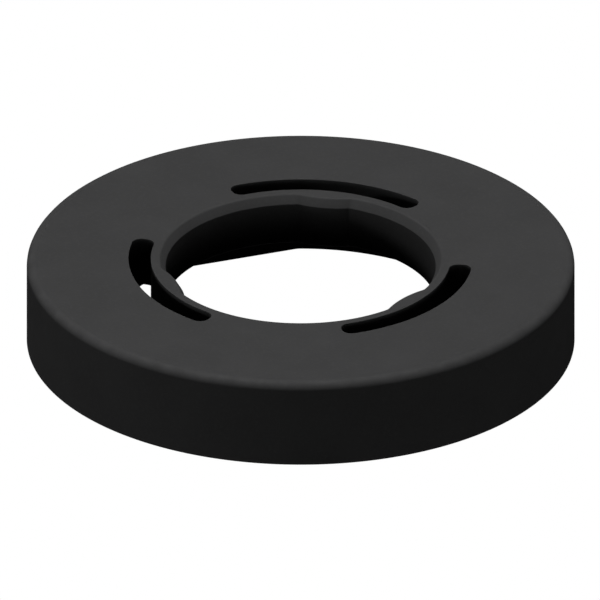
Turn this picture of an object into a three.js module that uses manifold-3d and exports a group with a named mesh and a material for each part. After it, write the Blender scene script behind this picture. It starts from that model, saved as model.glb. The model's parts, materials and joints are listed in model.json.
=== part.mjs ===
// Push-on cover flange: a round moulding that slides along a tube and hides where the tube is fixed.
// It is one piece of plastic with a bore for the tube. Three arc slots behind the bore's wall leave
// three thin spring tongues, and a bump on each tongue grips the tube. The underside has a pocket
// with flats for a fixing plate, and a ring of hollows that keeps the walls of the rim thin.
// Millimetres, +Z up. The origin is the centre of the underside, and the bore runs along Z.
import * as THREE from "three";
import { mergeVertices } from "three/addons/utils/BufferGeometryUtils.js";
import Module from "manifold-3d";

const wasm = await Module();
wasm.setup();

// Disc.
const OUTER_DIAMETER = 70;
const HEIGHT = 11.7;
const TOP_EDGE_RADIUS = 1.15;
const WEB_THICKNESS = 6.6;

// Bore, with a conical lead-in at its top.
const BORE_DIAMETER = 34.5;
const LEAD_IN_WIDTH = 0.76;
const LEAD_IN_DEPTH = 1.14;

// Spring tongues: where they are round the bore, the slot behind each one, and its bump.
const TONGUE_ANGLES = { back: 80, left: 200, right: 320 };
const SLOT_INNER_RADIUS = 19.15;
const SLOT_WIDTH = 2.85;
const SLOT_CAP_ANGLE = 31.25;
const TONGUE_HALF_ANGLE = 30;
const BUMP_CIRCLE_DIAMETER = 32.9;
const BUMP_RADIUS = 11.4;

// Pocket for the fixing plate, with one flat beside each tongue.
const POCKET_DIAMETER = 50.5;
const FLAT_DISTANCE = 23.85;
const FLAT_OFFSET_ANGLE = 30;

// Hollows under the rim.
const RIM_WALL = 2.4;
const POCKET_WALL = 2.2;
const RIM_ROOF = 2.6;
const RIB_COUNT = 12;
const RIB_THICKNESS = 1.8;

// Running gap between pieces, how far a cutter runs past the faces it cuts, and the facets of circles.
const GAP = 0.3;
const OVERRUN = 1;
const DISC_FACETS = 128;
const ARC_DIVISIONS = 8;
const FILLET_DIVISIONS = 5;

const OUTER_RADIUS = OUTER_DIAMETER / 2;
const BORE_RADIUS = BORE_DIAMETER / 2;
const POCKET_RADIUS = POCKET_DIAMETER / 2;
const POCKET_DEPTH = HEIGHT - WEB_THICKNESS;
const SLOT_MIDDLE_RADIUS = SLOT_INNER_RADIUS + SLOT_WIDTH / 2;
const FULL_TURN = 2 * Math.PI;

const BLACK_PLASTIC = { color: 0x333334, roughness: 0.6, metalness: 0 };

const radians = THREE.MathUtils.degToRad;

// Closed geometry to a solid: shared vertices are merged, and slivers at a lathe's poles dropped.
function toSolid(geometry) {
  const bare = geometry.clone();
  bare.deleteAttribute("normal");
  bare.deleteAttribute("uv");
  const merged = mergeVertices(bare);
  const index = merged.index.array;
  const triangles = [];
  for (let i = 0; i < index.length; i += 3) {
    const [a, b, c] = [index[i], index[i + 1], index[i + 2]];
    if (a !== b && b !== c && c !== a) {
      triangles.push(a, b, c);
    }
  }
  const vertProperties = new Float32Array(merged.attributes.position.array);
  const triVerts = new Uint32Array(triangles);
  return new wasm.Manifold(new wasm.Mesh({ numProp: 3, vertProperties, triVerts }));
}

function toGeometry(solid) {
  const mesh = solid.getMesh();
  const geometry = new THREE.BufferGeometry();
  geometry.setAttribute("position", new THREE.BufferAttribute(new Float32Array(mesh.vertProperties), 3));
  geometry.setIndex(new THREE.BufferAttribute(new Uint32Array(mesh.triVerts), 1));
  geometry.computeVertexNormals();
  return geometry;
}

// A prism of a plan shape, from height bottom to height top.
function prism(shape, bottom, top) {
  const options = { depth: top - bottom, bevelEnabled: false, curveSegments: ARC_DIVISIONS };
  return new THREE.ExtrudeGeometry(shape, options).translate(0, 0, bottom);
}

function disc() {
  const fillet = new THREE.Path();
  const centre = OUTER_RADIUS - TOP_EDGE_RADIUS;
  fillet.absarc(centre, HEIGHT - TOP_EDGE_RADIUS, TOP_EDGE_RADIUS, 0, Math.PI / 2, false);
  const profile = [
    new THREE.Vector2(0, 0),
    new THREE.Vector2(OUTER_RADIUS, 0),
    ...fillet.getPoints(FILLET_DIVISIONS),
    new THREE.Vector2(0, HEIGHT),
  ];
  return toSolid(new THREE.LatheGeometry(profile, DISC_FACETS).rotateX(Math.PI / 2));
}

// The bore in plan: a circle with one arc bulging inwards at each tongue.
function boreOutline() {
  const shape = new THREE.Shape();
  const bumpCentre = BUMP_CIRCLE_DIAMETER / 2 + BUMP_RADIUS;
  const cosine = (bumpCentre ** 2 + BORE_RADIUS ** 2 - BUMP_RADIUS ** 2) / (2 * bumpCentre * BORE_RADIUS);
  const boreHalf = Math.acos(cosine);
  const bumpHalf = Math.asin((BORE_RADIUS * Math.sin(boreHalf)) / BUMP_RADIUS);
  for (const degrees of Object.values(TONGUE_ANGLES)) {
    const angle = radians(degrees);
    const x = bumpCentre * Math.cos(angle);
    const y = bumpCentre * Math.sin(angle);
    const nextBump = angle + FULL_TURN / 3 - boreHalf;
    shape.absarc(x, y, BUMP_RADIUS, angle + Math.PI + bumpHalf, angle + Math.PI - bumpHalf, true);
    shape.absarc(0, 0, BORE_RADIUS, angle + boreHalf, nextBump, false);
  }
  return shape;
}

// The bore's void. The lower bevel of its upper part is the conical lead-in.
function boreVoid() {
  const outline = boreOutline();
  const straight = toSolid(prism(outline, -OVERRUN, HEIGHT + OVERRUN));
  const bevelled = new THREE.ExtrudeGeometry(outline, {
    depth: OVERRUN,
    bevelThickness: LEAD_IN_DEPTH,
    bevelSize: LEAD_IN_WIDTH,
    bevelSegments: 1,
    curveSegments: ARC_DIVISIONS,
  });
  return straight.add(toSolid(bevelled.translate(0, 0, HEIGHT)));
}

// An arc slot with full round ends.
function slotVoid(degrees) {
  const shape = new THREE.Shape();
  const start = radians(degrees - SLOT_CAP_ANGLE);
  const end = radians(degrees + SLOT_CAP_ANGLE);
  const cap = SLOT_WIDTH / 2;
  const middle = SLOT_MIDDLE_RADIUS;
  shape.absarc(0, 0, middle + cap, start, end, false);
  shape.absarc(middle * Math.cos(end), middle * Math.sin(end), cap, end, end + Math.PI, false);
  shape.absarc(0, 0, middle - cap, end, start, true);
  shape.absarc(middle * Math.cos(start), middle * Math.sin(start), cap, start + Math.PI, start + FULL_TURN, false);
  return toSolid(prism(shape, -OVERRUN, HEIGHT + OVERRUN));
}

// The pocket's void: a round well with one flat beside each tongue.
function pocketVoid() {
  const shape = new THREE.Shape();
  const flatHalf = Math.acos(FLAT_DISTANCE / POCKET_RADIUS);
  for (const degrees of Object.values(TONGUE_ANGLES)) {
    const flat = radians(degrees + FLAT_OFFSET_ANGLE);
    shape.absarc(0, 0, POCKET_RADIUS, flat + flatHalf, flat + FULL_TURN / 3 - flatHalf, false);
  }
  return toSolid(prism(shape, -OVERRUN, POCKET_DEPTH));
}

// One hollow under the rim, between two ribs.
function rimHollow(index) {
  const inner = POCKET_RADIUS + POCKET_WALL;
  const outer = OUTER_RADIUS - RIM_WALL;
  const ribHalf = RIB_THICKNESS / 2;
  const start = (index * FULL_TURN) / RIB_COUNT;
  const end = ((index + 1) * FULL_TURN) / RIB_COUNT;
  const shape = new THREE.Shape();
  const innerEdge = Math.asin(ribHalf / inner);
  const outerEdge = Math.asin(ribHalf / outer);
  shape.absarc(0, 0, outer, start + outerEdge, end - outerEdge, false);
  shape.absarc(0, 0, inner, end - innerEdge, start + innerEdge, true);
  return toSolid(prism(shape, -OVERRUN, HEIGHT - RIM_ROOF));
}

// The whole moulding, before it is split into the body and the tongues.
function moulding() {
  let solid = disc().subtract(pocketVoid()).subtract(boreVoid());
  for (const degrees of Object.values(TONGUE_ANGLES)) {
    solid = solid.subtract(slotVoid(degrees));
  }
  for (let index = 0; index < RIB_COUNT; index += 1) {
    solid = solid.subtract(rimHollow(index));
  }
  return solid;
}

// A wedge round one tongue, out to the middle of its slot. Clearance widens it at both ends.
function tongueWedge(degrees, clearance) {
  const half = radians(TONGUE_HALF_ANGLE) + clearance / BORE_RADIUS;
  const angle = radians(degrees);
  const shape = new THREE.Shape();
  shape.absarc(0, 0, SLOT_MIDDLE_RADIUS, angle - half, angle + half, false);
  shape.lineTo(0, 0);
  return toSolid(prism(shape, -OVERRUN, HEIGHT + OVERRUN));
}

function springTongue(whole, degrees) {
  return whole.intersect(tongueWedge(degrees, 0));
}

function flangeBody(whole) {
  let solid = whole;
  for (const degrees of Object.values(TONGUE_ANGLES)) {
    solid = solid.subtract(tongueWedge(degrees, GAP));
  }
  return solid;
}

function namedMesh(name, solid) {
  const mesh = new THREE.Mesh(toGeometry(solid), new THREE.MeshStandardMaterial(BLACK_PLASTIC));
  mesh.name = name;
  return mesh;
}

const flange = new THREE.Group();
const whole = moulding();
flange.add(namedMesh("flange_body", flangeBody(whole)));
for (const [place, degrees] of Object.entries(TONGUE_ANGLES)) {
  flange.add(namedMesh(`spring_tongue_${place}`, springTongue(whole, degrees)));
}

export default flange;
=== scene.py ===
"""Looks of the push-on cover flange: its fine moulded shape, its black plastic and a plain studio.

Everything is in metres, in the CAD's frame: +Z up, origin at the centre of the underside.
"""

import json
import math

import bmesh
import bpy
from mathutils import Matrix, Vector
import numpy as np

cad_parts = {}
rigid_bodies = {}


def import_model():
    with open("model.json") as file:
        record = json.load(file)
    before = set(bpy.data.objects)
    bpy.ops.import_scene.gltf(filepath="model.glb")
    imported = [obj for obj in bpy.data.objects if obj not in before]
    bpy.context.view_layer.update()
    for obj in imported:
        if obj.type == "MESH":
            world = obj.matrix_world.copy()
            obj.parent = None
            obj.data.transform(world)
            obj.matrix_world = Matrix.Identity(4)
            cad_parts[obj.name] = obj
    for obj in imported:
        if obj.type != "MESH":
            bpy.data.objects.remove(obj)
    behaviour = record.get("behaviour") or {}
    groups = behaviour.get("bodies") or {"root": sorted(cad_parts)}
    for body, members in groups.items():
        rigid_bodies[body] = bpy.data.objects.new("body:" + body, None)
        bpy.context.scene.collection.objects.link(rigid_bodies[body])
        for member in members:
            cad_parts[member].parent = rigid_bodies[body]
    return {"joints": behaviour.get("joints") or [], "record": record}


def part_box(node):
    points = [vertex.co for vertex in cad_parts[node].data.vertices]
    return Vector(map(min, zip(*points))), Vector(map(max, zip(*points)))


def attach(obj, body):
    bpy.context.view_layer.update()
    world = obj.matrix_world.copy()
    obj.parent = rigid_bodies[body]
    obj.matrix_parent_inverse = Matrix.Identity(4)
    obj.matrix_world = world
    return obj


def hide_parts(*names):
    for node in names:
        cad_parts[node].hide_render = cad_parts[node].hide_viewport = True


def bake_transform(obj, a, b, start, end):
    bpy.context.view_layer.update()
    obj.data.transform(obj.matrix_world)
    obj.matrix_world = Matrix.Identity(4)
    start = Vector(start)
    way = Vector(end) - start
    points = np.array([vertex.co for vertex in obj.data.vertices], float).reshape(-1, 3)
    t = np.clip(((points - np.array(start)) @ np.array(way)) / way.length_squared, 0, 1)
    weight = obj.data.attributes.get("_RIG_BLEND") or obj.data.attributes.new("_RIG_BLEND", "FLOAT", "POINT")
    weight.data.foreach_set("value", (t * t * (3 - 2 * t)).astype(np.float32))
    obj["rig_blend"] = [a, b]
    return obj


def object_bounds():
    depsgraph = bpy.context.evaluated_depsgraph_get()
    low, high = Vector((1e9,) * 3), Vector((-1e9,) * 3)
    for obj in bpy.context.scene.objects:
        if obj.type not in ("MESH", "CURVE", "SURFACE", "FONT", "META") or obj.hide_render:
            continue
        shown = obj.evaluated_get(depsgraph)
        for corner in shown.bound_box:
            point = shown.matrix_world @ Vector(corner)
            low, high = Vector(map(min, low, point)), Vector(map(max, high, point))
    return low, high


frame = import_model()
cad_low, cad_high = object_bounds()

MM = 0.001
FULL_TURN = 2 * math.pi
QUARTER_TURN = math.pi / 2
ON_AXIS = Vector((0, 0))

# What the frame gives: the bodies and their nodes, where each tongue is round the bore, and the main sizes.
joints = frame["joints"]
ROOT_BODY = joints[0]["parent"]
BODY_NODES = frame["record"]["behaviour"]["bodies"]
TONGUES = {joint["child"]: math.atan2(joint["axis"][1], joint["axis"][0]) % FULL_TURN for joint in joints}
OUTER_RADIUS = (cad_high.x - cad_low.x) / 2
HEIGHT = cad_high.z
WEB_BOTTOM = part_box(BODY_NODES[joints[0]["child"]][0])[0].z

# Bore and lead-in. A grip bump has a broad round face and short steep flanks, which fade out up the lead-in.
BORE_RADIUS = 17.25 * MM
LEAD_IN_WIDTH = 0.76 * MM
LEAD_IN_DEPTH = 1.14 * MM
BUMP_FACE_REACH = 16.44 * MM
BUMP_FACE_RADIUS = 11.4 * MM
BUMP_LEAD_REACH = 17.11 * MM
BUMP_LEAD_RADIUS = 12.2 * MM
BUMP_LEAD_FILLET = 0.2 * MM
FLANK_START_ANGLE = math.radians(9.9)
FLANK_END_ANGLE = math.radians(11.7)

# Slots, with ends blunter than the CAD's, and tongues. A pad is a tongue's stiff middle, with the bump.
SLOT_INNER_RADIUS = 19.15 * MM
SLOT_WIDTH = 2.85 * MM
SLOT_END_ANGLE = math.radians(35.15)
SLOT_END_FILLET = 1.25 * MM
TONGUE_HALF_ANGLE = math.radians(30)
PAD_HALF_ANGLE = math.radians(14)

# Pocket and its flats, and the hollows under the rim, as in the CAD but with fillets and a little draft.
POCKET_RADIUS = 25.25 * MM
FLAT_DISTANCE = 23.85 * MM
FLAT_OFFSET_ANGLE = math.radians(30)
FLAT_FILLET = 1.5 * MM
RIM_WALL = 2.4 * MM
POCKET_WALL = 2.2 * MM
RIM_ROOF = 2.6 * MM
RIB_COUNT = 12
RIB_HALF = 0.9 * MM
HOLLOW_FILLET = 1.0 * MM
HOLLOW_DRAFT = 0.12 * MM

# Marks of the mould on the web's underside: an ejector pin's between every two tongues, and the gate's,
# which is GATE_TURN round from the first of them.
PIN_MARK_RADIUS = 2 * MM
PIN_MARK_DEPTH = 0.08 * MM
MARKS_CIRCLE = 21.2 * MM
GATE_RADIUS = 0.7 * MM
GATE_HEIGHT = 0.15 * MM
GATE_TURN = math.radians(12)

# Radii of the edges, and how far a profile runs on over the flat face beyond its first and last edge.
TOP_ROUNDING = 1.15 * MM
LEAD_IN_TOP_EDGE = 0.45 * MM
LEAD_IN_LOWER_EDGE = 0.2 * MM
SLOT_TOP_EDGE = 0.05 * MM
WEB_LOWER_EDGE = 0.08 * MM
POCKET_ROOF_EDGE = 0.4 * MM
FOOT_EDGE = 0.1 * MM
HOLLOW_FOOT_EDGE = 0.2 * MM
HOLLOW_ROOF_EDGE = 0.5 * MM
MARK_EDGE = 0.03 * MM
EDGE_STRIP = 0.2 * MM

# The top face's extra loops, by how far in from the outer wall they lie.
TOP_LOOPS = [10.5 * MM, 8.5 * MM, 6.5 * MM, 4.5 * MM, 2.8 * MM]

# How finely round shapes are divided: the longest steps along an outline, a fillet in it, the outer wall and
# a pad, and the number of steps round an edge.
OUTLINE_STEP = 0.3 * MM
FILLET_STEP = 0.15 * MM
OUTER_STEP = 0.5 * MM
PAD_STEP = 0.08 * MM
EDGE_STEPS = 6

# Slack when steps are counted, the gap that counts as touching, and the angle from which an edge is sharp.
COUNT_SLACK = 1e-6
TOUCHING = 0.001 * MM
SHARP_ANGLE = math.radians(40)

# Plastic: its brightness, how far its clouding, speckles and rubbed edges are from that, and its finish.
BLACK = 0.043
BLUENESS = 1.01
DARK_CLOUD = 0.96
PALE_CLOUD = 1.04
SPECKLE = 1.25
RUBBED = 1.3
ROUGHNESS = 0.72
ROUGHNESS_SPREAD = 0.04
RUBBED_POLISH = 0.1
SPECULAR = 0.12
GRAIN_DEPTH = 0.02 * MM
GRAIN_STRENGTH = 0.3

# How fine each pattern of the plastic is, in patches a metre.
CLOUD_SCALE = 140
FINISH_SCALE = 230
RUBBED_SCALE = 420
SPECKLE_SCALE = 2600
GRAIN_SCALE = 4200

# Studio, in metres. The surroundings glow white in a low band round the horizon. The band is given by the
# height of its directions: it starts just under the horizon, is full up to BAND_FULL and gone by BAND_END.
LIGHT_DISTANCE = 1.5
BAND_GLOW = 1.95
BAND_START = -0.01
BAND_FULL = math.sin(math.radians(6.5))
BAND_END = math.sin(math.radians(12))
FLOOR_HALF = 8
FLOOR_CLEARANCE = 0.02 * MM

# Camera: it shows no perspective, and the flange lies a little to the right of and above the frame's middle.
CAMERA_ELEVATION = math.radians(27.27)
CAMERA_DISTANCE = 20 * OUTER_RADIUS
FRAME_WIDTH = 2.19 * OUTER_RADIUS
RIGHT_OF_MIDDLE = 0.0024 * OUTER_RADIUS
ABOVE_MIDDLE = 0.0043 * OUTER_RADIUS


# ---------------------------------------------------------------- plan outlines
# An outline is a list of (point, normal), both in plan. The normal points out of the void into the plastic.

def on_circle(radius, angle):
    """The point at an angle on a circle round the axis."""
    return Vector((radius * math.cos(angle), radius * math.sin(angle)))


def arc(centre, radius, start, end, step, into_centre=False):
    """Points of an arc from angle start to angle end, with normals away from its centre or into it."""
    count = max(2, math.ceil(abs(end - start) * radius / step - COUNT_SLACK))
    sign = -1 if into_centre else 1
    found = []
    for index in range(count + 1):
        angle = start + (end - start) * index / count
        found.append((centre + on_circle(radius, angle), sign * on_circle(1, angle)))
    return found


def joined(*stretches):
    """Stretches of outline run together, without the doubled point where two of them touch."""
    outline = list(stretches[0])
    for stretch in stretches[1:]:
        touches = (stretch[0][0] - outline[-1][0]).length < TOUCHING
        outline += stretch[1:] if touches else stretch
    return outline


def turned(outline, angle):
    """The same outline turned about the axis."""
    cosine = math.cos(angle)
    sine = math.sin(angle)

    def turn(place):
        return Vector((cosine * place.x - sine * place.y, sine * place.x + cosine * place.y))

    return [(turn(point), turn(normal)) for point, normal in outline]


def mirrored(outline):
    """The outline's mirror image in the X axis, run the other way."""
    flip = Vector((1, -1))
    return [(flip * point, flip * normal) for point, normal in reversed(outline)]


def bore_beside_tongue():
    """The bore's round wall from one tongue to the next, for a tongue at angle 0."""
    return arc(ON_AXIS, BORE_RADIUS, TONGUE_HALF_ANGLE, FULL_TURN / 3 - TONGUE_HALF_ANGLE, OUTLINE_STEP)


def to_circle(angle, reach, radius):
    """How far from the axis a circle's near side is, in a direction at an angle from its centre's.

    The circle's nearest point is at reach.
    """
    centre = reach + radius
    return centre * math.cos(angle) - math.sqrt(radius ** 2 - (centre * math.sin(angle)) ** 2)


def lower_of(first, second, fillet):
    """The lower of two distances, with a smooth change from one to the other."""
    share = min(max(0.5 + (second - first) / (2 * fillet), 0), 1)
    return share * first + (1 - share) * second - fillet * share * (1 - share)


def smooth_step(value, start, end):
    """0 up to start and 1 from end on, with a smooth rise between them."""
    share = min(max((value - start) / (end - start), 0), 1)
    return share * share * (3 - 2 * share)


def pad_outline():
    """The bore's wall over the middle of a tongue at angle 0, with the bump and its flanks.

    Each point's normal leads to the place above it on the lead-in's upper edge.
    """
    lead_radius = BORE_RADIUS + LEAD_IN_WIDTH
    count = 2 * math.ceil(PAD_HALF_ANGLE * BORE_RADIUS / PAD_STEP)
    outline = []
    for index in range(count + 1):
        angle = PAD_HALF_ANGLE * (2 * index / count - 1)
        face = min(to_circle(angle, BUMP_FACE_REACH, BUMP_FACE_RADIUS), BORE_RADIUS)
        wall = face + (BORE_RADIUS - face) * smooth_step(abs(angle), FLANK_START_ANGLE, FLANK_END_ANGLE)
        bump_lead = to_circle(angle, BUMP_LEAD_REACH, BUMP_LEAD_RADIUS)
        lead = lower_of(bump_lead, lead_radius, BUMP_LEAD_FILLET)
        outline.append((on_circle(wall, angle), on_circle((lead - wall) / LEAD_IN_WIDTH, angle)))
    return outline


def arm_outline():
    """The bore's wall over one arm of a tongue at angle 0, from the pad to the tongue's end."""
    return arc(ON_AXIS, BORE_RADIUS, PAD_HALF_ANGLE, TONGUE_HALF_ANGLE, OUTLINE_STEP)


def slot_beside_tongue():
    """The slot's wall round its far side, from one end of a tongue at angle 0 to the other."""
    outer = SLOT_INNER_RADIUS + SLOT_WIDTH
    far = outer - SLOT_END_FILLET
    near = SLOT_INNER_RADIUS + SLOT_END_FILLET
    far_angle = SLOT_END_ANGLE - math.asin(SLOT_END_FILLET / far)
    near_angle = SLOT_END_ANGLE - math.asin(SLOT_END_FILLET / near)
    into_end = SLOT_END_ANGLE + QUARTER_TURN
    into_axis = near_angle + math.pi
    upper = joined(
        arc(ON_AXIS, outer, 0, far_angle, OUTLINE_STEP),
        arc(on_circle(far, far_angle), SLOT_END_FILLET, far_angle, into_end, FILLET_STEP),
        arc(on_circle(near, near_angle), SLOT_END_FILLET, into_end, into_axis, FILLET_STEP),
        arc(ON_AXIS, SLOT_INNER_RADIUS, near_angle, TONGUE_HALF_ANGLE, OUTLINE_STEP, into_centre=True),
    )
    return joined(mirrored(upper), upper)


def pocket_outline():
    """The pocket's wall: round, with a flat beside each tongue and a fillet where they meet."""
    centre_x = FLAT_DISTANCE - FLAT_FILLET
    centre_y = math.sqrt((POCKET_RADIUS - FLAT_FILLET) ** 2 - centre_x ** 2)
    meet = math.atan2(centre_y, centre_x)
    flat_normal = Vector((1, 0))
    flat_count = math.ceil(2 * centre_y / OUTLINE_STEP)
    flat = []
    for index in range(flat_count + 1):
        flat.append((Vector((FLAT_DISTANCE, centre_y * (2 * index / flat_count - 1))), flat_normal))
    fillet = arc(Vector((centre_x, centre_y)), FLAT_FILLET, 0, meet, FILLET_STEP)
    round_wall = arc(ON_AXIS, POCKET_RADIUS, meet, FULL_TURN / 3 - meet, OUTLINE_STEP)
    third = joined(mirrored(fillet), flat, fillet, round_wall)[:-1]
    outline = []
    for angle in sorted(TONGUES.values()):
        outline += turned(third, angle + FLAT_OFFSET_ANGLE)
    return outline


def hollow_outline():
    """One hollow under the rim, between the rib at angle 0 and the next one."""
    inner = POCKET_RADIUS + POCKET_WALL
    outer = OUTER_RADIUS - RIM_WALL
    half = math.pi / RIB_COUNT
    off_rib = RIB_HALF + HOLLOW_FILLET
    far = Vector((math.sqrt((outer - HOLLOW_FILLET) ** 2 - off_rib ** 2), off_rib))
    near = Vector((math.sqrt((inner + HOLLOW_FILLET) ** 2 - off_rib ** 2), off_rib))
    far_meet = math.atan2(far.y, far.x)
    near_meet = math.atan2(near.y, near.x)
    lower = joined(
        arc(ON_AXIS, inner, half, near_meet, OUTLINE_STEP, into_centre=True),
        arc(near, HOLLOW_FILLET, near_meet + math.pi, 3 * QUARTER_TURN, FILLET_STEP),
        arc(far, HOLLOW_FILLET, -QUARTER_TURN, far_meet, FILLET_STEP),
        arc(ON_AXIS, outer, far_meet, half, OUTLINE_STEP),
    )
    upper = turned(mirrored(lower), 2 * half)
    return joined(lower, upper)[:-1]


def mark_outline(radius, angle):
    """A small round mark on the web's underside. The normals point away from its middle."""
    return arc(on_circle(MARKS_CIRCLE, angle), radius, 0, FULL_TURN, OUTLINE_STEP)[:-1]


def outer_outline():
    """The outer wall, with a point on each axis. Its normals point inwards, into the plastic."""
    quarter = QUARTER_TURN * OUTER_RADIUS
    step = quarter / math.ceil(quarter / OUTER_STEP)
    return arc(ON_AXIS, OUTER_RADIUS, 0, FULL_TURN, step, into_centre=True)[:-1]


# ---------------------------------------------------------------- edge profiles
# A profile is a list of (offset, height, rub): how far along the outline's normal, how high, and how much
# hands and the tube rub there. Rub is 0 on faces and highest in the middle of an exposed edge's rounding.

def rounded(corners):
    """A profile along straight lines between corners given as (offset, height, radius, rub).

    Each corner is rounded with its radius, and its rub is that of the rounding's middle.
    """
    points = [Vector((offset, height)) for offset, height, _, _ in corners]
    found = [points[0].to_3d()]
    for index in range(1, len(corners) - 1):
        corner = points[index]
        _, _, radius, rub = corners[index]
        before = (points[index - 1] - corner).normalized()
        after = (points[index + 1] - corner).normalized()
        half = before.angle(after) / 2
        reach = radius / math.tan(half)
        centre = corner + (before + after).normalized() * radius / math.sin(half)
        start = corner + before * reach - centre
        end = corner + after * reach - centre
        sweep = start.angle(end)
        for step in range(EDGE_STEPS + 1):
            share = step / EDGE_STEPS
            from_start = math.sin((1 - share) * sweep) / math.sin(sweep)
            from_end = math.sin(share * sweep) / math.sin(sweep)
            place = centre + start * from_start + end * from_end
            found.append(Vector((place.x, place.y, rub * math.sin(math.pi * share))))
    found.append(points[-1].to_3d())
    return found


def bore_profile():
    """From the top face down the lead-in and the bore's wall to the web's underside."""
    return rounded([
        (LEAD_IN_WIDTH + LEAD_IN_TOP_EDGE, HEIGHT, 0, 0),
        (LEAD_IN_WIDTH, HEIGHT, LEAD_IN_TOP_EDGE, 0.5),
        (0, HEIGHT - LEAD_IN_DEPTH, LEAD_IN_LOWER_EDGE, 1),
        (0, WEB_BOTTOM, WEB_LOWER_EDGE, 0),
        (WEB_LOWER_EDGE + EDGE_STRIP, WEB_BOTTOM, 0, 0),
    ])


def slot_profile():
    """From the top face down a slot's wall to the web's underside."""
    return rounded([
        (SLOT_TOP_EDGE + EDGE_STRIP, HEIGHT, 0, 0),
        (0, HEIGHT, SLOT_TOP_EDGE, 0.5),
        (0, WEB_BOTTOM, WEB_LOWER_EDGE, 0),
        (WEB_LOWER_EDGE + EDGE_STRIP, WEB_BOTTOM, 0, 0),
    ])


def outer_profile():
    """From the top face over the large rounding and down the outer wall to the rim's foot."""
    loops = [Vector((offset, HEIGHT, 0)) for offset in TOP_LOOPS]
    return loops + rounded([
        (TOP_ROUNDING + EDGE_STRIP, HEIGHT, 0, 0),
        (0, HEIGHT, TOP_ROUNDING, 1),
        (0, 0, FOOT_EDGE, 0),
        (FOOT_EDGE + EDGE_STRIP, 0, 0, 0),
    ])


def pocket_profile():
    """From the web's underside down the pocket's wall to the rim's foot."""
    return rounded([
        (-POCKET_ROOF_EDGE - EDGE_STRIP, WEB_BOTTOM, 0, 0),
        (0, WEB_BOTTOM, POCKET_ROOF_EDGE, 0),
        (0, 0, FOOT_EDGE, 0),
        (FOOT_EDGE + EDGE_STRIP, 0, 0, 0),
    ])


def hollow_profile():
    """From the rim's foot up a hollow's wall, which leans in a little, to its roof."""
    roof = HEIGHT - RIM_ROOF
    return rounded([
        (HOLLOW_FOOT_EDGE + EDGE_STRIP, 0, 0, 0),
        (0, 0, HOLLOW_FOOT_EDGE, 0),
        (-HOLLOW_DRAFT, roof, HOLLOW_ROOF_EDGE, 0),
        (-HOLLOW_DRAFT - HOLLOW_ROOF_EDGE - EDGE_STRIP, roof, 0, 0),
    ])


def mark_profile(height):
    """From the web's underside to the flat end of a mark, which lies at a height over or under it."""
    end = WEB_BOTTOM + height
    return rounded([
        (EDGE_STRIP, WEB_BOTTOM, 0, 0),
        (0, WEB_BOTTOM, MARK_EDGE, 0),
        (-MARK_EDGE, end, MARK_EDGE, 0),
        (-EDGE_STRIP, end, 0, 0),
    ])


# ---------------------------------------------------------------- meshes

def new_mesh():
    """An empty bmesh whose vertices hold how much they are rubbed."""
    bm = bmesh.new()
    bm.verts.layers.float.new("rubbed")
    return bm


def add_columns(bm, outline, profile):
    """A column of vertices under each point of the outline, as a list of columns."""
    rubbed = bm.verts.layers.float["rubbed"]
    columns = []
    for point, normal in outline:
        column = []
        for offset, height, rub in profile:
            place = point + normal * offset
            vert = bm.verts.new((place.x, place.y, height))
            vert[rubbed] = rub
            column.append(vert)
        columns.append(column)
    return columns


def skin(bm, columns, closed):
    """Faces between neighbouring columns, and between the last and the first where the outline is closed."""
    pairs = list(zip(columns, columns[1:]))
    if closed:
        pairs.append((columns[-1], columns[0]))
    for left, right in pairs:
        for row in range(len(left) - 1):
            bm.faces.new((left[row], left[row + 1], right[row + 1], right[row]))


def loop_edges(bm, loop):
    """The edges round a closed loop of vertices, made where they are missing."""
    ends = zip(loop, loop[1:] + loop[:1])
    return [bm.edges.get(pair) or bm.edges.new(pair) for pair in ends]


def cover(bm, *loops):
    """Fills the flat region between closed loops of vertices."""
    edges = []
    for loop in loops:
        edges += loop_edges(bm, loop)
    bmesh.ops.triangle_fill(bm, edges=edges, use_beauty=True, use_dissolve=False)


def add_capped(bm, outline, profile):
    """A hollow or stub with its far end closed. The result is the loop where it starts."""
    columns = add_columns(bm, outline, profile)
    skin(bm, columns, closed=True)
    cover(bm, [column[-1] for column in columns])
    return [column[0] for column in columns]


def finished(bm, name):
    """The bmesh as a named object, with outward faces, smooth roundings and sharp corners."""
    bmesh.ops.recalc_face_normals(bm, faces=bm.faces)
    mesh = bpy.data.meshes.new(name)
    bm.to_mesh(mesh)
    bm.free()
    mesh.shade_smooth()
    mesh.set_sharp_from_angle(angle=SHARP_ANGLE)
    piece = bpy.data.objects.new(name, mesh)
    bpy.context.scene.collection.objects.link(piece)
    weighted = piece.modifiers.new("flat faces keep their normals", "WEIGHTED_NORMAL")
    weighted.keep_sharp = True
    return piece


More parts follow.
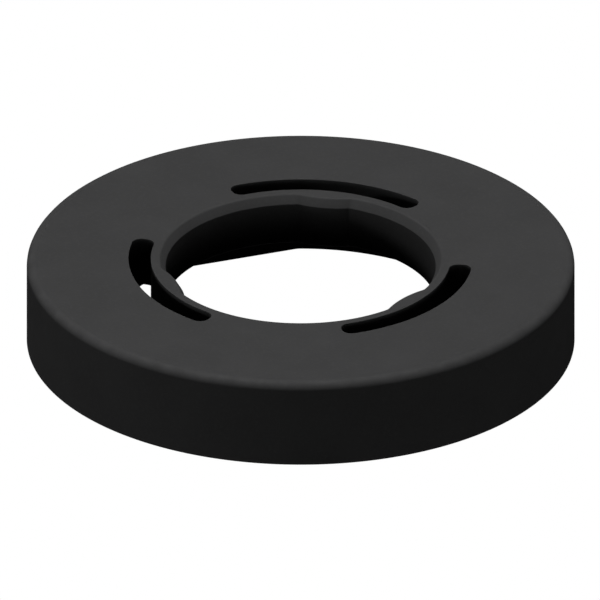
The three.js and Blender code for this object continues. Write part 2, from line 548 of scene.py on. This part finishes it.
def make_body():
    """The moulding without its tongues, as one closed mesh."""
    bm = new_mesh()
    outer = add_columns(bm, outer_outline(), outer_profile())
    skin(bm, outer, closed=True)
    pocket = add_columns(bm, pocket_outline(), pocket_profile())
    skin(bm, pocket, closed=True)

    stretches = []
    for angle in sorted(TONGUES.values()):
        stretches.append(add_columns(bm, turned(slot_beside_tongue(), angle), slot_profile()))
        stretches.append(add_columns(bm, turned(bore_beside_tongue(), angle), bore_profile()))
    opening_top = []
    opening_bottom = []
    for stretch in stretches:
        skin(bm, stretch, closed=False)
        opening_top += [column[0] for column in stretch]
        opening_bottom += [column[-1] for column in stretch]
    for here, following in zip(stretches, stretches[1:] + stretches[:1]):
        bm.faces.new(here[-1] + following[0][::-1])

    hollow_feet = []
    for index in range(RIB_COUNT):
        outline = turned(hollow_outline(), index * FULL_TURN / RIB_COUNT)
        hollow_feet.append(add_capped(bm, outline, hollow_profile()))

    between = [angle + FULL_TURN / 6 for angle in TONGUES.values()]
    marks = []
    for angle in between:
        marks.append(add_capped(bm, mark_outline(PIN_MARK_RADIUS, angle), mark_profile(PIN_MARK_DEPTH)))
    gate = mark_outline(GATE_RADIUS, between[0] + GATE_TURN)
    marks.append(add_capped(bm, gate, mark_profile(-GATE_HEIGHT)))

    cover(bm, [column[0] for column in outer], opening_top)
    cover(bm, [column[0] for column in pocket], opening_bottom, *marks)
    cover(bm, [column[-1] for column in outer], [column[-1] for column in pocket], *hollow_feet)
    return finished(bm, "flange_moulding")


def make_band(name, outline):
    """A stretch of a tongue: the band between the bore's wall and the slot, closed at both ends."""
    slot_side = []
    for point, _ in outline:
        direction = point.normalized()
        slot_side.append((direction * SLOT_INNER_RADIUS, -direction))
    bm = new_mesh()
    bore_columns = add_columns(bm, outline, bore_profile())
    slot_columns = add_columns(bm, slot_side, slot_profile())
    rings = [down + up[::-1] for down, up in zip(bore_columns, slot_columns)]
    for left, right in zip(rings, rings[1:]):
        for row in range(len(left)):
            after = (row + 1) % len(left)
            bm.faces.new((left[row], left[after], right[after], right[row]))
    bm.faces.new(rings[0])
    bm.faces.new(rings[-1])
    return finished(bm, name)


def make_tongue(body, angle):
    """One tongue: the pad with its bump, which moves with the CAD tongue, and a bending arm on each side."""
    node = BODY_NODES[body][0]
    pad = make_band(f"{body}_grip_pad", turned(pad_outline(), angle))
    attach(pad, body)
    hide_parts(node)
    sideways = Vector((-math.sin(angle), math.cos(angle), 0))
    # How far to the side of the tongue's middle the moulding holds an arm, and where the pad carries it.
    held = BORE_RADIUS * math.sin(TONGUE_HALF_ANGLE)
    free = SLOT_INNER_RADIUS * math.sin(PAD_HALF_ANGLE)
    pieces = [pad]
    for number, side in ((1, 1), (2, -1)):
        outline = arm_outline() if side > 0 else mirrored(arm_outline())
        arm = make_band(f"{body}_arm_{number}", turned(outline, angle))
        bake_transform(arm, ROOT_BODY, body, start=sideways * side * held, end=sideways * side * free)
        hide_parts(node)
        pieces.append(arm)
    return pieces


# ---------------------------------------------------------------- material

class Nodes:
    """Short calls for making the nodes of a material or a world. Most of them give a node's output."""

    def __init__(self, tree):
        self.tree = tree

    def add(self, kind, **settings):
        node = self.tree.nodes.new(kind)
        for key, value in settings.items():
            setattr(node, key, value)
        return node

    def link(self, source, target):
        self.tree.links.new(source, target)

    def noise(self, place, scale, detail, roughness=0.5):
        node = self.add("ShaderNodeTexNoise")
        node.inputs["Scale"].default_value = scale
        node.inputs["Detail"].default_value = detail
        node.inputs["Roughness"].default_value = roughness
        self.link(place, node.inputs["Vector"])
        return node.outputs["Fac"]

    def remap(self, value, low, high, to_low, to_high):
        """The range from low to high stretched to the range from to_low to to_high, with no overrun."""
        node = self.add("ShaderNodeMapRange", clamp=True)
        for name, number in (("From Min", low), ("From Max", high), ("To Min", to_low), ("To Max", to_high)):
            node.inputs[name].default_value = number
        self.link(value, node.inputs["Value"])
        return node.outputs["Result"]

    def math(self, operation, first, second):
        node = self.add("ShaderNodeMath", operation=operation)
        for socket, value in zip(node.inputs, (first, second)):
            if isinstance(value, (int, float)):
                socket.default_value = value
            else:
                self.link(value, socket)
        return node.outputs["Value"]

    def blend(self, share, first, second):
        """A mix of two colours. A mix node's colour inputs are its seventh and eighth."""
        node = self.add("ShaderNodeMix", data_type="RGBA")
        self.link(share, node.inputs["Factor"])
        for socket, value in ((node.inputs[6], first), (node.inputs[7], second)):
            if isinstance(value, tuple):
                socket.default_value = value
            else:
                self.link(value, socket)
        return node.outputs[2]


def grey(value):
    """A neutral colour, a trace towards blue."""
    return (value, value, value * BLUENESS, 1)


def black_plastic():
    """Black moulded plastic: fine spark-eroded grain, faint clouding, and edges rubbed a little paler."""
    material = bpy.data.materials.new("black_moulded_plastic")
    material.use_nodes = True
    nodes = Nodes(material.node_tree)
    shader = material.node_tree.nodes["Principled BSDF"]
    place = nodes.add("ShaderNodeTexCoord").outputs["Object"]

    clouds = nodes.noise(place, CLOUD_SCALE, detail=3)
    clouds = nodes.remap(clouds, low=0.35, high=0.65, to_low=0, to_high=1)
    colour = nodes.blend(clouds, grey(BLACK * DARK_CLOUD), grey(BLACK * PALE_CLOUD))
    speckles = nodes.noise(place, SPECKLE_SCALE, detail=2)
    speckles = nodes.remap(speckles, low=0.5, high=0.8, to_low=0, to_high=0.5)
    colour = nodes.blend(speckles, colour, grey(BLACK * SPECKLE))
    patches = nodes.noise(place, RUBBED_SCALE, detail=4)
    patches = nodes.remap(patches, low=0.4, high=0.7, to_low=0, to_high=0.8)
    edges = nodes.add("ShaderNodeAttribute", attribute_name="rubbed").outputs["Fac"]
    rubbed = nodes.math("MULTIPLY", edges, patches)
    colour = nodes.blend(rubbed, colour, grey(BLACK * RUBBED))
    nodes.link(colour, shader.inputs["Base Color"])

    smooth = ROUGHNESS - ROUGHNESS_SPREAD
    dull = ROUGHNESS + ROUGHNESS_SPREAD
    finish = nodes.noise(place, FINISH_SCALE, detail=4)
    finish = nodes.remap(finish, low=0.3, high=0.7, to_low=smooth, to_high=dull)
    polish = nodes.math("MULTIPLY", rubbed, RUBBED_POLISH)
    nodes.link(nodes.math("SUBTRACT", finish, polish), shader.inputs["Roughness"])

    grain = nodes.add("ShaderNodeBump")
    grain.inputs["Strength"].default_value = GRAIN_STRENGTH
    grain.inputs["Distance"].default_value = GRAIN_DEPTH
    nodes.link(nodes.noise(place, GRAIN_SCALE, detail=2, roughness=0.6), grain.inputs["Height"])
    nodes.link(grain.outputs["Normal"], shader.inputs["Normal"])
    shader.inputs["Specular IOR Level"].default_value = SPECULAR
    return material


# ---------------------------------------------------------------- studio

def make_floor():
    """A plain white floor that glows like a light table, so it shows no shadow. From below it is clear."""
    bm = bmesh.new()
    bmesh.ops.create_grid(bm, x_segments=1, y_segments=1, size=FLOOR_HALF)
    mesh = bpy.data.meshes.new("floor")
    bm.to_mesh(mesh)
    bm.free()
    floor = bpy.data.objects.new("floor", mesh)
    floor.location.z = -FLOOR_CLEARANCE
    bpy.context.scene.collection.objects.link(floor)
    material = bpy.data.materials.new("pale_floor")
    material.use_nodes = True
    nodes = Nodes(material.node_tree)
    sides = nodes.add("ShaderNodeMixShader")
    nodes.link(nodes.add("ShaderNodeNewGeometry").outputs["Backfacing"], sides.inputs["Fac"])
    nodes.link(nodes.add("ShaderNodeEmission").outputs["Emission"], sides.inputs[1])
    nodes.link(nodes.add("ShaderNodeBsdfTransparent").outputs["BSDF"], sides.inputs[2])
    nodes.link(sides.outputs["Shader"], material.node_tree.nodes["Material Output"].inputs["Surface"])
    mesh.materials.append(material)
    floor.visible_diffuse = False
    floor.visible_glossy = False
    floor.visible_shadow = False


def make_light(name, azimuth, elevation, size, power, shines=True):
    """A square light aimed at the flange, from a direction in degrees round from +X and above the floor.

    A light that doesn't shine gives no gloss.
    """
    level = on_circle(math.cos(math.radians(elevation)), math.radians(azimuth))
    toward = Vector((level.x, level.y, math.sin(math.radians(elevation))))
    data = bpy.data.lights.new(name, "AREA")
    data.size = size
    data.energy = power
    light = bpy.data.objects.new(name, data)
    light.location = toward * LIGHT_DISTANCE
    light.rotation_euler = toward.to_track_quat("Z", "Y").to_euler()
    light.visible_camera = False
    light.visible_glossy = shines
    bpy.context.scene.collection.objects.link(light)


def make_surroundings():
    """White all round for the camera. Only a low band of it, round the horizon, lights the flange."""
    world = bpy.data.worlds.new("studio")
    world.use_nodes = True
    world.cycles_visibility.glossy = False
    bpy.context.scene.world = world
    nodes = Nodes(world.node_tree)
    plain = world.node_tree.nodes["Background"]
    plain.inputs["Color"].default_value = grey(1)
    band = nodes.add("ShaderNodeBackground")
    direction = nodes.add("ShaderNodeSeparateXYZ")
    nodes.link(nodes.add("ShaderNodeTexCoord").outputs["Generated"], direction.inputs["Vector"])
    height = direction.outputs["Z"]
    above_start = nodes.remap(height, low=BAND_START, high=0, to_low=0, to_high=BAND_GLOW)
    below_end = nodes.remap(height, low=BAND_FULL, high=BAND_END, to_low=BAND_GLOW, to_high=0)
    nodes.link(nodes.math("MINIMUM", above_start, below_end), band.inputs["Strength"])
    choice = nodes.add("ShaderNodeMixShader")
    nodes.link(nodes.add("ShaderNodeLightPath").outputs["Is Camera Ray"], choice.inputs["Fac"])
    nodes.link(band.outputs["Background"], choice.inputs[1])
    nodes.link(plain.outputs["Background"], choice.inputs[2])
    nodes.link(choice.outputs["Shader"], world.node_tree.nodes["World Output"].inputs["Surface"])


def make_camera():
    """The view from the front and above, with the flange nearly filling the frame."""
    data = bpy.data.cameras.new("camera")
    data.type = "ORTHO"
    data.ortho_scale = FRAME_WIDTH
    camera = bpy.data.objects.new("camera", data)
    bpy.context.scene.collection.objects.link(camera)
    back = Vector((0, -math.cos(CAMERA_ELEVATION), math.sin(CAMERA_ELEVATION)))
    up = Vector((0, math.sin(CAMERA_ELEVATION), math.cos(CAMERA_ELEVATION)))
    flange_middle = Vector((0, 0, HEIGHT / 2))
    aim = flange_middle - Vector((RIGHT_OF_MIDDLE, 0, 0)) - up * ABOVE_MIDDLE
    camera.location = aim + back * CAMERA_DISTANCE
    camera.rotation_euler = back.to_track_quat("Z", "Y").to_euler()
    bpy.context.scene.camera = camera


body = make_body()
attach(body, ROOT_BODY)
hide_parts(*BODY_NODES[ROOT_BODY])
object_pieces = [body]
for tongue_body, tongue_angle in TONGUES.items():
    object_pieces += make_tongue(tongue_body, tongue_angle)
plastic = black_plastic()
for piece in object_pieces:
    piece.data.materials.append(plastic)

make_floor()
make_light("overhead", azimuth=120, elevation=86, size=0.1, power=21.1)
make_light("from_the_left", azimuth=184, elevation=9, size=0.1, power=2.2)
make_light("underneath", azimuth=90, elevation=-78, size=0.06, power=12, shines=False)
make_surroundings()
make_camera()
bpy.context.scene.view_settings.view_transform = "Standard"
